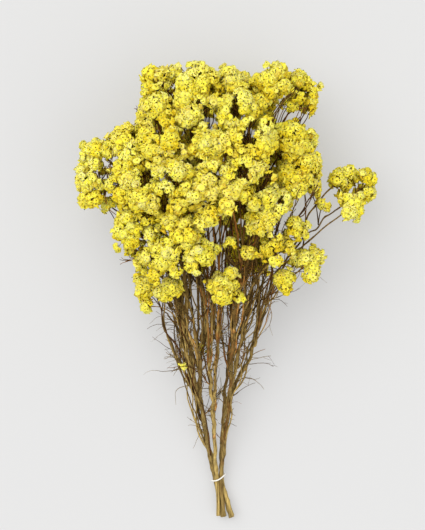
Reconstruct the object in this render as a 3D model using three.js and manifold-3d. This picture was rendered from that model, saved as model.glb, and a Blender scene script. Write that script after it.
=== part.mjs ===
// A tied bunch of dried statice, lying on a table: five woody stems with forked branches, the ruffled
// flower heads on their twig tips, and one thin band round the stems above the cut ends.
// Millimetres, with +Z up from the table and +Y from the cut ends to the flowers.

import * as THREE from "three";
import { ConvexHull } from "three/addons/math/ConvexHull.js";
import Module from "manifold-3d";

const wasm = await Module();
wasm.setup();

// Driving dimensions. Lengthwise, y = 0 is the middle of the bunch.
const STEM_COUNT = 5;
const STEM_RADIUS = 2.3; // at the band
const CUT_FLARE = 1.2; // how much thicker a stem is at its cut end
const TWIG_RADIUS = 0.95; // where a twig meets a flower head
const BARE_TWIG = { radius: 0.75, shortest: 26, longest: 52, perStem: 5 }; // twigs with no flowers left
const SETTLED = 0.74; // how high the lowest heads' centres lie, as a share of their radius
const EDGE_RISE = 0.06; // keeps the heads at the fan's edges from lying in one plane
const FAR_END_Y = 230; // heads past this face more along the bunch
const LOW_FORK_Y = -70; // forks lower than this part their shoots sideways
const BAND_Y = -224;
const BUNDLE_RADIUS = 4.3; // of the ring on which the stem centres pass the band
const BAND_RADIUS = 0.8; // half the band's own thickness
const BAND_SLANT = 0.5; // rise along the bunch for each millimetre across it
const CUT_Y = -269;
const CUT_SPREAD = { x: 5, wide: 9, deep: 7 }; // where the cut ends splay
const FLORET_WIDTH = 14; // larger than life
const FLORET_DEPTH = 4.6; // from a floret's ruffled rim to its eye
const FIT_GAP = 0.3; // between a piece and what it touches
const BAND_GAP = 0.6; // between the band and the stems, which pass it at a slant
const HEAD_GAP = 0.8; // between a head and its neighbours
const UNDERSIDE = 0.5; // how far a head's underside lies behind its centre, as a share of its radius

// The fan of branches: its centre, half width and half depth at places along the bunch.
const ENVELOPE = [
  { y: BAND_Y, x: -4, z: 10, wide: BUNDLE_RADIUS, deep: BUNDLE_RADIUS },
  { y: -190, x: -8, z: 15, wide: 10, deep: 9 },
  { y: -150, x: -10, z: 24, wide: 27, deep: 18 },
  { y: -100, x: -10, z: 38, wide: 43, deep: 30 },
  { y: -60, x: -8, z: 51, wide: 56, deep: 40 },
  { y: 0, x: -6, z: 67, wide: 78, deep: 50 },
  { y: 50, x: -4, z: 77, wide: 100, deep: 56 },
  { y: 110, x: -20, z: 83, wide: 120, deep: 61 },
  { y: 160, x: -26, z: 83, wide: 121, deep: 62 },
  { y: 212, x: 4, z: 77, wide: 92, deep: 54 },
  { y: 252, x: 8, z: 70, wide: 80, deep: 44 },
];

// Flower heads in tiers down the bunch: their places across it, on the upper (1) or the lower (-1) side.
// Lift is how near each lies to the fan's outer surface, in turn along the tier.
const TIERS = [
  { y: 256, side: 1, radius: 24, lift: [0.3], places: [-67] },
  { y: 242, side: 1, radius: 24, lift: [0.95, 0.3, 0.95], places: [-24, 14, 62] },
  { y: 218, side: 1, radius: 27, lift: [1, 0.85, 1], places: [-74, -32, 14] },
  { y: 232, side: 1, radius: 25, lift: [0.6], places: [90] },
  { y: 232, side: -1, radius: 32, lift: [0.9], places: [-44, 40] },
  { y: 166, side: 1, radius: 24, lift: [0.9], places: [-110] },
  { y: 178, side: 1, radius: 27, lift: [1.05, 0.9, 1.05], places: [-60, -10, 40] },
  { y: 171, side: 1, radius: 23, lift: [0.9], places: [76] },
  { y: 169, side: 1, radius: 17, lift: [1], places: [-138] },
  { y: 170, side: -1, radius: 32, lift: [1], places: [-96, -36, 28, 76] },
  { y: 132, side: 1, radius: 24, lift: [1], places: [-149] },
  { y: 143, side: 1, radius: 27, lift: [0.9, 1.05], places: [-102, -54, -12, 32] },
  { y: 150, side: 1, radius: 25, lift: [0.9], places: [91] },
  { y: 129, side: 1, radius: 23, lift: [0.9], places: [-156] },
  { y: 110, side: 1, radius: 27, lift: [1.08, 0.9], places: [-84, -34, 12, 50] },
  { y: 112, side: -1, radius: 31, lift: [1], places: [-96, -38, 18, 60] },
  { y: 76, side: 1, radius: 26, lift: [1, 0.86], places: [-96, -50] },
  { y: 88, side: 1, radius: 20, lift: [1], places: [-18] },
  { y: 78, side: 1, radius: 23, lift: [0.86], places: [44] },
  { y: 80, side: 1, radius: 15, lift: [1], places: [86] },
  { y: 57, side: 1, radius: 21, lift: [0.9], places: [-95] },
  { y: 44, side: 1, radius: 25, lift: [1.05], places: [-60] },
  { y: 50, side: 1, radius: 20, lift: [0.9], places: [-23] },
  { y: 45, side: 1, radius: 19, lift: [1], places: [66, 102] },
  { y: 54, side: -1, radius: 29, lift: [1], places: [-42, 36] },
  { y: 6, side: 1, radius: 17, lift: [0.8], places: [-86] },
  { y: 6, side: 1, radius: 13, lift: [1], places: [-57] },
  { y: 6, side: 1, radius: 18, lift: [0.8], places: [-4] },
  { y: 12, side: 1, radius: 13, lift: [1], places: [69] },
  { y: 131, side: -1, radius: 17, lift: [1], places: [144, 166] },
  { y: 97, side: 1, radius: 15, lift: [1], places: [156] },
];

const GROWING_SEED = 252; // gives stems that pass clear of each other

const random = (seed) => {
  let state = seed;
  return () => {
    state = (Math.imul(state, 1664525) + 1013904223) >>> 0;
    return state / 2 ** 32;
  };
};
const between = (draw, low, high) => low + (high - low) * draw();
const mix = (a, b, share) => a + (b - a) * share;
const vector = (x, y, z) => new THREE.Vector3(x, y, z);

function envelopeAt(y) {
  const above = ENVELOPE.findIndex((station) => station.y > y);
  const i = above < 0 ? ENVELOPE.length - 1 : Math.max(above, 1);
  const [a, b] = [ENVELOPE[i - 1], ENVELOPE[i]];
  const share = Math.min(1, (y - a.y) / (b.y - a.y));
  const at = (key) => mix(a[key], b[key], share);
  return { x: at("x"), z: at("z"), wide: at("wide"), deep: at("deep") };
}

// Turns round the fan are counted from straight down; reach is 1 on its outer surface.
const turnOf = (across, up) => (Math.atan2(up, across) + Math.PI / 2 + 2 * Math.PI) % (2 * Math.PI);
function fanPoint({ turn, reach, y }) {
  const e = envelopeAt(y);
  const angle = turn - Math.PI / 2;
  return vector(e.x + e.wide * reach * Math.cos(angle), y, e.z + e.deep * reach * Math.sin(angle));
}

function placeHeads() {
  const draw = random(11);
  const heads = [];
  for (const tier of TIERS)
    tier.places.forEach((place, k) => {
      const x = place + between(draw, -7, 7);
      const y = tier.y + between(draw, -10, 10);
      const radius = tier.radius * between(draw, 0.88, 1.14);
      const e = envelopeAt(y);
      const across = (x - e.x) / e.wide;
      const lift = tier.lift[k % tier.lift.length];
      const up = tier.side * lift * Math.sqrt(Math.max(EDGE_RISE, 1 - across * across));
      const z = Math.max(e.z + e.deep * up, SETTLED * radius);
      const outward = vector(across / e.wide, 0, up / e.deep).normalize();
      const axis = outward.multiplyScalar(0.8).add(vector(0, tier.y > FAR_END_Y ? 1 : 0.6, 0)).normalize();
      const height = (z - e.z) / e.deep;
      heads.push({
        centre: vector(x, y, z),
        axis,
        radius,
        turn: turnOf(across, height),
        reach: Math.hypot(across, height),
      });
    });
  for (const head of heads)
    head.tip = head.centre.clone().addScaledVector(head.axis, -UNDERSIDE * head.radius - FIT_GAP);
  return heads.sort((a, b) => a.turn - b.turn);
}

// A shoot carries its heads as a pipe would: the more heads, the thicker.
const shootRadius = (count) => TWIG_RADIUS * count ** 0.42;
const mean = (values) => values.reduce((a, b) => a + b, 0) / values.length;
const spread = (values) => Math.max(...values) - Math.min(...values);

function newShoot(from, heading, count) {
  const radius = shootRadius(count);
  const root = from.clone().addScaledVector(heading, -radius);
  return { points: [root], radii: [radius], heading: heading.clone(), sides: count > 2 ? 4 : 3, head: null };
}

// Lengthens a shoot along a curve, tapering it to the given radius.
function lengthen(shoot, curve, radius, stepLength) {
  const steps = Math.ceil(curve.getLength() / stepLength);
  const thick = shoot.radii.at(-1);
  for (let i = 1; i <= steps; i += 1) {
    shoot.points.push(curve.getPoint(i / steps));
    shoot.radii.push(mix(thick, radius, i / steps));
  }
  shoot.heading = curve.getTangent(1);
}

// A shoot forks again and again until each head has a twig of its own, and it runs on to one of them.
function grow(shoots, shoot, fan, heads, draw) {
  const from = shoot.points.at(-1);
  if (heads.length === 1) {
    const [head] = heads;
    const length = from.distanceTo(head.tip);
    const run = Math.max(0.4 * length, 0.6 * head.radius);
    const curve = new THREE.CubicBezierCurve3(
      from,
      from.clone().addScaledVector(shoot.heading, 0.35 * length),
      head.tip.clone().addScaledVector(head.axis, -run),
      head.tip,
    );
    lengthen(shoot, curve, TWIG_RADIUS * 0.9, 36);
    shoot.head = head;
    return;
  }
  const lowest = Math.min(...heads.map((head) => head.tip.y));
  const share = between(draw, 0.4, 0.55);
  const next = {
    turn: mix(fan.turn, mean(heads.map((head) => head.turn)), 0.9),
    reach: mix(fan.reach, 0.6 * mean(heads.map((head) => head.reach)), 0.6),
    y: mix(fan.y, Math.max(lowest - 12, fan.y + 8), share),
  };
  const to = fanPoint(next);
  const knee = from.clone().addScaledVector(shoot.heading, 0.45 * from.distanceTo(to));
  lengthen(shoot, new THREE.QuadraticBezierCurve3(from, knee, to), shootRadius(heads.length), 50);
  split(shoots, shoot, next, heads, draw);
}

function split(shoots, shoot, fan, heads, draw) {
  const lowest = Math.min(...heads.map((head) => head.tip.y));
  const width = spread(heads.map((head) => head.turn)) * envelopeAt(lowest).wide;
  const height = spread(heads.map((head) => head.centre.y));
  const sideways = fan.y < LOW_FORK_Y || width > 0.8 * height;
  const key = sideways ? (head) => head.turn : (head) => head.centre.y;
  const sorted = [...heads].sort((a, b) => key(a) - key(b));
  const half = Math.ceil(heads.length / 2);
  const [low, high] = [sorted.slice(0, half), sorted.slice(half)];
  const fork = shoot.points.at(-1).clone();
  const towards = vector(0, 0, 0);
  low.forEach((head) => towards.addScaledVector(head.tip, 1 / low.length));
  const heading = towards.sub(fork).normalize().add(shoot.heading).normalize();
  const side = newShoot(fork, heading, low.length);
  shoots.push(side);
  grow(shoots, shoot, fan, high, draw);
  grow(shoots, side, fan, low, draw);
}

// The stems cross the band as straight rods do: turned one way above it and the other below.
function growStem(index, heads, draw) {
  const slot = ((index + 0.5) / STEM_COUNT) * 2 * Math.PI;
  const atBand = fanPoint({ turn: slot + 0.5, reach: 1, y: BAND_Y });
  const cutAngle = slot + 1.5 - Math.PI / 2;
  const cut = vector(
    CUT_SPREAD.x + CUT_SPREAD.wide * Math.cos(cutAngle),
    CUT_Y + between(draw, -3, 8),
    CUT_SPREAD.deep * (1 + Math.sin(cutAngle)) + STEM_RADIUS * CUT_FLARE,
  );
  const fan = {
    turn: mix(slot, mean(heads.map((head) => head.turn)), 0.6),
    reach: 0.75,
    y: between(draw, -185, -140),
  };
  const curve = new THREE.CatmullRomCurve3([cut, atBand, fanPoint(fan)]);
  const stem = { points: [cut], radii: [STEM_RADIUS], heading: null, sides: 5, head: null };
  lengthen(stem, curve, shootRadius(heads.length), 24);
  stem.radii[0] = STEM_RADIUS * CUT_FLARE;
  const shoots = [stem];
  split(shoots, stem, fan, heads, draw);
  return shoots;
}

// The nearest that a point comes to any of some shoots, less their thickness.
function clearance(point, shoots) {
  let least = Infinity;
  for (const { points, radii } of shoots)
    for (let i = 1; i < points.length; i += 1) {
      const line = new THREE.Line3(points[i - 1], points[i]);
      const nearest = line.closestPointToPoint(point, true, vector(0, 0, 0));
      least = Math.min(least, nearest.distanceTo(point) - Math.max(radii[i - 1], radii[i]));
    }
  return least;
}

// Short twigs with no flowers, low on the shoots, curling outwards where nothing is in the way.
function addBareTwigs(shoots, others, draw) {
  const hosts = shoots.filter((shoot) => shoot.sides > 3);
  for (let made = 0, tries = 0; made < BARE_TWIG.perStem && tries < 200; tries += 1) {
    const host = hosts[Math.floor(draw() * hosts.length)];
    const i = Math.floor(draw() * host.points.length);
    const from = host.points[i];
    const angle = draw() * 2 * Math.PI;
    const length = between(draw, BARE_TWIG.shortest, BARE_TWIG.longest);
    if (from.y < -170 || from.y > 20) continue;
    const out = vector(Math.cos(angle), 0, Math.sin(angle));
    const knee = from.clone().addScaledVector(out, 0.4 * length).add(vector(0, 0.25 * length, 0));
    const tip = from.clone().addScaledVector(out, 0.5 * length).add(vector(0, 0.85 * length, 0));
    const curve = new THREE.QuadraticBezierCurve3(from, knee, tip);
    const clear = curve.getPoints(10).every((point) => clearance(point, others) > 3 && point.z > 4);
    const leaves = curve.getPoints(10).slice(3).every((point) => clearance(point, shoots) > 1.5);
    if (!clear || !leaves) continue;
    const twig = { points: [from.clone()], radii: [BARE_TWIG.radius], heading: null, sides: 3, head: null };
    lengthen(twig, curve, 0.6 * BARE_TWIG.radius, 28);
    shoots.push(twig);
    made += 1;
  }
}

// A closed tube with few sides along a shoot's points.
function tube({ points, radii, sides }) {
  const ends = points.length - 1;
  const tangents = points.map((_, i) =>
    points[Math.min(i + 1, ends)].clone().sub(points[Math.max(i - 1, 0)]).normalize(),
  );
  const side = vector(0.3, 0.1, 1).cross(tangents[0]).normalize();
  const vertices = [];
  points.forEach((point, i) => {
    const along = tangents[i];
    side.addScaledVector(along, -side.dot(along)).normalize();
    const other = along.clone().cross(side);
    for (let k = 0; k < sides; k += 1) {
      const angle = (k / sides) * 2 * Math.PI;
      const arm = side.clone().multiplyScalar(Math.cos(angle)).addScaledVector(other, Math.sin(angle));
      vertices.push(point.clone().addScaledVector(arm, radii[i]));
    }
  });
  const triangles = [];
  for (let i = 0; i < ends; i += 1)
    for (let k = 0; k < sides; k += 1) {
      const [a, b] = [i * sides + k, i * sides + ((k + 1) % sides)];
      triangles.push([a, b, b + sides], [a, b + sides, a + sides]);
    }
  for (let k = 1; k < sides - 1; k += 1) {
    triangles.push([0, k + 1, k]);
    const last = ends * sides;
    triangles.push([last, last + k, last + k + 1]);
  }
  return solid(vertices, triangles);
}

function solid(vertices, triangles) {
  const mesh = new wasm.Mesh({
    numProp: 3,
    vertProperties: new Float32Array(vertices.flatMap((v) => v.toArray())),
    triVerts: new Uint32Array(triangles.flat()),
  });
  return new wasm.Manifold(mesh);
}

// The half spaces that keep a head clear of other heads and of the shoots that pass it.
function wallsRound(head, heads, shoots) {
  const walls = [];
  for (const other of heads) {
    if (other === head) continue;
    const normal = other.centre.clone().sub(head.centre);
    const far = normal.length();
    const distance = (far * far + head.radius ** 2 - other.radius ** 2) / (2 * far) - HEAD_GAP / 2;
    if (distance < 1.2 * head.radius) walls.push({ normal: normal.normalize(), distance });
  }
  const nearest = vector(0, 0, 0);
  for (const shoot of shoots) {
    if (shoot.head === head) continue;
    for (let i = 1; i < shoot.points.length; i += 1) {
      new THREE.Line3(shoot.points[i - 1], shoot.points[i]).closestPointToPoint(head.centre, true, nearest);
      const normal = nearest.clone().sub(head.centre);
      const distance = normal.length() - Math.max(shoot.radii[i - 1], shoot.radii[i]) - HEAD_GAP;
      if (distance < 1.2 * head.radius) walls.push({ normal: normal.normalize(), distance });
    }
  }
  return walls;
}

// A head is several round puffs grown together: four round its axis and one on top.
function puffs(head, draw) {
  const side = vector(0.2, 0.3, 1).cross(head.axis).normalize();
  const other = head.axis.clone().cross(side);
  const first = between(draw, 0, 2 * Math.PI);
  const list = [{ offset: head.axis.clone().multiplyScalar(0.36 * head.radius), radius: 0.64 * head.radius }];
  for (let k = 0; k < 4; k += 1) {
    const angle = first + (k / 4) * 2 * Math.PI + between(draw, -0.25, 0.25);
    const offset = head.axis.clone().multiplyScalar(between(draw, 0.05, 0.28));
    offset.addScaledVector(side, 0.46 * Math.cos(angle)).addScaledVector(other, 0.46 * Math.sin(angle));
    const radius = between(draw, 0.52, 0.62) * head.radius;
    list.push({ offset: offset.multiplyScalar(head.radius), radius });
  }
  return list;
}

function freeReach(direction, head, lumps) {
  let reach = UNDERSIDE * head.radius;
  for (const { offset, radius } of lumps) {
    const along = direction.dot(offset);
    const inside = along * along - offset.lengthSq() + radius * radius;
    if (inside > 0) reach = Math.max(reach, along + Math.sqrt(inside));
  }
  return reach;
}

function reachWithin(walls, direction, reach) {
  let held = reach;
  for (const { normal, distance } of walls) {
    const facing = direction.dot(normal);
    if (facing > 0) held = Math.min(held, distance / facing);
  }
  return held;
}

// Points spread evenly over a head: a floret where there is room, and sparse plain points elsewhere.
function spreadFlorets(head, lumps, walls, floor, draw) {
  const turn = new THREE.Quaternion().setFromUnitVectors(vector(0, 0, 1), head.axis);
  const under = head.axis.clone().negate();
  const list = [{ direction: under, reach: UNDERSIDE * head.radius }];
  const count = Math.round((4 * Math.PI * (0.98 * head.radius) ** 2) / (0.866 * FLORET_WIDTH ** 2));
  for (let i = 0; i < count; i += 1) {
    const height = 1 - (2 * (i + 0.5)) / count;
    const angle = i * Math.PI * (3 - Math.sqrt(5));
    const out = Math.sqrt(1 - height * height);
    const direction = vector(out * Math.cos(angle), out * Math.sin(angle), height).applyQuaternion(turn);
    const free = freeReach(direction, head, lumps);
    const walled = reachWithin(walls, direction, free);
    const reach = reachWithin([floor], direction, walled);
    const roomy = height > -0.35 && walled > 0.8 * free && reach === walled;
    if (roomy) list.push({ direction, reach: reach - FLORET_DEPTH });
    else if ((i % 3 === 0 || reach < walled) && height > -0.9) list.push({ direction, reach });
  }
  return list;
}

// A head: florets side by side, each a funnel with a raised ruffled rim round a sunken eye.
function headSolid(head, walls, draw) {
  const lumps = puffs(head, draw);
  const floor = { normal: vector(0, 0, -1), distance: head.centre.z };
  const eyes = spreadFlorets(head, lumps, walls, floor, draw);
  const vertices = eyes.map(({ direction, reach }) => head.centre.clone().addScaledVector(direction, reach));
  const index = new Map(eyes.map(({ direction }, i) => [direction, i]));
  const hull = new ConvexHull().setFromPoints(eyes.map(({ direction }) => direction));
  const across = new Map();
  hull.faces.forEach((face, f) => {
    const corners = [0, 1, 2].map((k) => index.get(face.getEdge(k).head().point));
    const direction = vector(0, 0, 0);
    corners.forEach((corner) => direction.add(eyes[corner].direction));
    direction.normalize();
    const free = freeReach(direction, head, lumps) * between(draw, 0.98, 1.02);
    const reach = reachWithin([floor, ...walls], direction, free);
    vertices.push(head.centre.clone().addScaledVector(direction, reach));
    corners.forEach((corner, k) => across.set(corner + "_" + corners[(k + 1) % 3], eyes.length + f));
  });
  const triangles = [];
  for (const [edge, left] of across) {
    const [a, b] = edge.split("_");
    triangles.push([Number(a), across.get(b + "_" + a), left]);
  }
  return solid(vertices, triangles);
}

// The band: a thin ring, slanting across the stems.
function bandSolid() {
  const loop = BUNDLE_RADIUS + STEM_RADIUS + BAND_GAP + BAND_RADIUS;
  const centre = fanPoint({ turn: 0, reach: 0, y: BAND_Y });
  const [steps, sides] = [30, 6];
  const vertices = [];
  const triangles = [];
  for (let i = 0; i < steps; i += 1) {
    const angle = (i / steps) * 2 * Math.PI;
    for (let k = 0; k < sides; k += 1) {
      const around = (k / sides) * 2 * Math.PI;
      const out = loop + BAND_RADIUS * Math.cos(around);
      const [x, z] = [out * Math.cos(angle), out * Math.sin(angle)];
      vertices.push(vector(x, BAND_SLANT * x + BAND_RADIUS * Math.sin(around), z).add(centre));
      const [a, b] = [i * sides + k, i * sides + ((k + 1) % sides)];
      const [c, d] = [a, b].map((v) => (v + sides) % (steps * sides));
      triangles.push([a, b, d], [a, d, c]);
    }
  }
  return solid(vertices, triangles);
}

function meshOf(name, made, material) {
  const { vertProperties, triVerts } = made.getMesh();
  const geometry = new THREE.BufferGeometry()
    .setAttribute("position", new THREE.BufferAttribute(vertProperties, 3))
    .setIndex(new THREE.BufferAttribute(triVerts, 1));
  geometry.computeVertexNormals();
  const mesh = new THREE.Mesh(geometry, material);
  mesh.name = name;
  return mesh;
}

const wood = new THREE.MeshStandardMaterial({ color: 0x6b5430, roughness: 0.85, metalness: 0 });
const petal = new THREE.MeshStandardMaterial({ color: 0xf0dc3c, roughness: 0.8, metalness: 0 });
const elastic = new THREE.MeshStandardMaterial({ color: 0xf4f2ec, roughness: 0.6, metalness: 0 });

const group = new THREE.Group();
const heads = placeHeads();
const growing = random(GROWING_SEED);
const twigging = random(31);
const ruffling = random(37);
const stems = Array.from({ length: STEM_COUNT }, (_, i) => {
  const share = (k) => Math.round((k * heads.length) / STEM_COUNT);
  const own = heads.slice(share(i), share(i + 1));
  return { own, shoots: growStem(i, own, growing) };
});
for (const stem of stems) {
  const others = stems.filter((other) => other !== stem).flatMap((other) => other.shoots);
  addBareTwigs(stem.shoots, others, twigging);
}
const everyShoot = stems.flatMap((stem) => stem.shoots);
stems.forEach(({ own, shoots }, i) => {
  const wooden = wasm.Manifold.union(shoots.map(tube));
  group.add(meshOf(`stem_${i + 1}`, wooden, wood));
  own.forEach((head, k) => {
    const body = headSolid(head, wallsRound(head, heads, everyShoot), ruffling);
    group.add(meshOf(`head_${i + 1}_${k + 1}`, body, petal));
  });
});
group.add(meshOf("band", bandSolid(), elastic));

const box = new THREE.Box3().setFromObject(group);
const middle = box.getCenter(vector(0, 0, 0));
group.position.set(-middle.x, -middle.y, -box.min.z);

export default group;
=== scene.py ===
# A tied bunch of dried statice, lying on a pale floor and seen from above. The branching is grown by the
# same rules as the CAD model's, and is dressed here with bark, fine twigs, stalks and ruffled florets.
# Shapes are worked out in the CAD model's millimetres and set down in metres.

from math import atan2, ceil, cos, floor, hypot, inf, pi, radians, sin, sqrt, tau

import bpy
import numpy as np
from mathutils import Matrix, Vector
from numpy.linalg import norm


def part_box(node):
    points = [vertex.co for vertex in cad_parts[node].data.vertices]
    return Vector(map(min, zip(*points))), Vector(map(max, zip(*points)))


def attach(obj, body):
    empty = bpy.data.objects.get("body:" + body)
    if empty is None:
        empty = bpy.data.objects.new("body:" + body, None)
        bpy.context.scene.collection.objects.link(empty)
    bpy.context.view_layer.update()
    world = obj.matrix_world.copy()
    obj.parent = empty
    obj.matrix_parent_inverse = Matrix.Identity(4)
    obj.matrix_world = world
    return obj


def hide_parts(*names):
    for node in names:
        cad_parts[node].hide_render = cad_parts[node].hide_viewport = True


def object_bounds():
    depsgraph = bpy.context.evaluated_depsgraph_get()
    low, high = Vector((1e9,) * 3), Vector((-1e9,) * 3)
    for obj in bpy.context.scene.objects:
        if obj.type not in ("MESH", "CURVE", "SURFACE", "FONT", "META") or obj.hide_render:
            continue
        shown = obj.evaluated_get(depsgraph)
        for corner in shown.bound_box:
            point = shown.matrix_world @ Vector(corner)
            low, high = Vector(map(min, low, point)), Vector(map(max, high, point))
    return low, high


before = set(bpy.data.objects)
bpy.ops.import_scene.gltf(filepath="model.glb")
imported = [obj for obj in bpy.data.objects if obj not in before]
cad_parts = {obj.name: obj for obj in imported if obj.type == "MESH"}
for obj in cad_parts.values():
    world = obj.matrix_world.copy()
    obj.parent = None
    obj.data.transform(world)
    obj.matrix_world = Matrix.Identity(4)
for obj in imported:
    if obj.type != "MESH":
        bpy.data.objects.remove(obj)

cad_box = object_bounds()

# The CAD model's driving dimensions, with y = 0 in the middle of the bunch
STEM_COUNT = 5
STEM_RADIUS = 2.3  # at the band
CUT_FLARE = 1.2  # how much thicker a stem is at its cut end
TWIG_RADIUS = 0.95  # where a twig meets a flower head
BARE_TWIG_RADIUS = 0.75
BARE_TWIG_LENGTH = (26, 52)
BARE_TWIGS_PER_STEM = 5
SETTLED = 0.74  # how high the lowest heads' centres lie, as a share of their radius
EDGE_RISE = 0.06  # keeps the heads at the fan's edges from lying in one plane
FAR_END_Y = 230  # heads past this face more along the bunch
LOW_FORK_Y = -70  # forks lower than this part their shoots sideways
BAND_Y = -224
BUNDLE_RADIUS = 4.3
BAND_RADIUS = 0.8
BAND_SLANT = 0.5  # rise along the bunch for each millimetre across it
BAND_GAP = 0.6  # between the band and the stems, which pass it at a slant
CUT_Y = -269
CUT_SPREAD = {"x": 5, "wide": 9, "deep": 7}  # where the cut ends splay
FIT_GAP = 0.3  # between a twig's end and its head
UNDERSIDE = 0.5  # how far a head's underside lies behind its centre, as a share of its radius
HEAD_SEED = 11
GROWING_SEED = 252
BARE_TWIG_SEED = 31

# The fan of branches: place along the bunch, centre across and up, half width and half depth
ENVELOPE = np.array([
    (BAND_Y, -4, 10, BUNDLE_RADIUS, BUNDLE_RADIUS),
    (-190, -8, 15, 10, 9),
    (-150, -10, 24, 27, 18),
    (-100, -10, 38, 43, 30),
    (-60, -8, 51, 56, 40),
    (0, -6, 67, 78, 50),
    (50, -4, 77, 100, 56),
    (110, -20, 83, 120, 61),
    (160, -26, 83, 121, 62),
    (212, 4, 77, 92, 54),
    (252, 8, 70, 80, 44),
], float)

# Flower heads in tiers: place along the bunch, upper or lower side, radius, lifts in turn, places across
TIERS = [
    (256, 1, 24, (0.3,), (-67,)),
    (242, 1, 24, (0.95, 0.3, 0.95), (-24, 14, 62)),
    (218, 1, 27, (1, 0.85, 1), (-74, -32, 14)),
    (232, 1, 25, (0.6,), (90,)),
    (232, -1, 32, (0.9,), (-44, 40)),
    (166, 1, 24, (0.9,), (-110,)),
    (178, 1, 27, (1.05, 0.9, 1.05), (-60, -10, 40)),
    (171, 1, 23, (0.9,), (76,)),
    (169, 1, 17, (1,), (-138,)),
    (170, -1, 32, (1,), (-96, -36, 28, 76)),
    (132, 1, 24, (1,), (-149,)),
    (143, 1, 27, (0.9, 1.05), (-102, -54, -12, 32)),
    (150, 1, 25, (0.9,), (91,)),
    (129, 1, 23, (0.9,), (-156,)),
    (110, 1, 27, (1.08, 0.9), (-84, -34, 12, 50)),
    (112, -1, 31, (1,), (-96, -38, 18, 60)),
    (76, 1, 26, (1, 0.86), (-96, -50)),
    (88, 1, 20, (1,), (-18,)),
    (78, 1, 23, (0.86,), (44,)),
    (80, 1, 15, (1,), (86,)),
    (57, 1, 21, (0.9,), (-95,)),
    (44, 1, 25, (1.05,), (-60,)),
    (50, 1, 20, (0.9,), (-23,)),
    (45, 1, 19, (1,), (66, 102)),
    (54, -1, 29, (1,), (-42, 36)),
    (6, 1, 17, (0.8,), (-86,)),
    (6, 1, 13, (1,), (-57,)),
    (6, 1, 18, (0.8,), (-4,)),
    (12, 1, 13, (1,), (69,)),
    (131, -1, 17, (1,), (144, 166)),
    (97, 1, 15, (1,), (156,)),
]

# What the CAD model leaves to this script
DRESSING_SEED = 5
FLORET_SEED = 8
FLOOR_CLEARANCE = 0.3
SHOOT_STEP = 5.0  # between rings of a smooth shoot
BAND_HOLD = 40  # the stems sway less within this distance of the band
COMPANIONS = 1.4  # thin shoots that run up to each head beside its own, on average
COMPANION_STEP = 6
COMPANION_SWAY = 6.0
COMPANION_KINKS = 1.4
GAP_TWIG_RISE = 0.62  # where twigs pass a gap, as a share of the fan's half depth
GAP_TWIG_RINGS = 14
CURLY_TWIGS = 115  # on each stem
CURLY_TWIG_LENGTH = (12, 46)
CURLY_STEP = 3.2
CURLY_TWIG_HEIGHT = 1.5  # least heights of the centre lines of twigs over the floor
PUFF_TWIG_HEIGHT = 1.2
STALK_HEIGHT = 0.8
EVEN_TURN = 3 - sqrt(5)  # half turns from point to point of a spiral that spreads them evenly
PUFF_RADIUS = (5.8, 11.2)
PUFF_MARGIN = 1.3  # least room from a puff's centre to the sides of the CAD model's box, in its radii
TUFTS = 3  # on each head
TUFT_MARGIN = 5
TUFT_RADIUS = 3.6

# How florets spread over a puff
FLORET_SPACING = 5.15
PUFF_WAVES = [0.14, 0.1]  # of its surface, as shares of its radius
SPOT_NOISE = 0.9
FACING_NOISE = 0.32
LOWEST_SPOT = -0.14  # on the puff's own axis, as a share of its radius
INNER_PUFF = 0.88  # the share of another puff's radius that is kept free of florets
WALL_OVERLAP = 1.5  # past the wall between two heads
STRAY_SHARE = 0.06
STRAY_RISE = (1.5, 4)
SPOT_RISE = (-0.7, 0.5)
DROOP = 3.6  # how far a floret that stands on its edge reaches down
UNDERSIDE_DROOP = 1.6  # how far one that faces down reaches
DEEPEST_SINK = 5  # florets that would sink deeper into the floor than this are left out

# Small sprigs between the heads: place across, along and up, spread, number of puffs
SPRIGS = [
    (-86, 258, 80, 8, 2),
    (-96, 218, 85, 9, 3),
    (-86, 206, 104, 9, 2),
    (-122, 187, 98, 10, 3),
    (-154, 171, 96, 8, 2),
    (103, 223, 84, 9, 3),
    (101, 184, 88, 9, 3),
    (109, 158, 92, 9, 3),
    (106, 119, 90, 8, 2),
    (120, 107, 88, 6, 2),
    (-116, 70, 96, 9, 3),
    (-92, 29, 94, 8, 2),
    (-86, -12, 82, 7, 2),
    (8, 26, 112, 7, 2),
    (19, -2, 102, 6, 1),
    (12, 60, 120, 8, 2),
    (28, 48, 114, 8, 2),
    (94, 70, 104, 7, 2),
    (110, 46, 90, 7, 2),
    (150, 144, 74, 8, 2),
    (91, 256, 82, 8, 3),
    (-62, 205, 80, 14, 5),
    (-8, 222, 78, 14, 5),
    (48, 205, 74, 14, 5),
    (-92, 148, 82, 15, 5),
    (-36, 150, 84, 14, 5),
    (24, 150, 84, 14, 5),
    (70, 140, 80, 13, 5),
    (-78, 96, 78, 13, 5),
    (-8, 96, 84, 13, 5),
    (80, 224, 86, 9, 4),
    (86, 199, 92, 8, 3),
    (-132, 106, 88, 8, 3),
    (42, 226, 112, 10, 3),
    (20, 194, 132, 9, 3),
    (-47, -84, 62, 2.4, 1),
    (-30, -62, 40, 3.4, 1),
    (-18, -70, 46, 3.4, 1),
]

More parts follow.
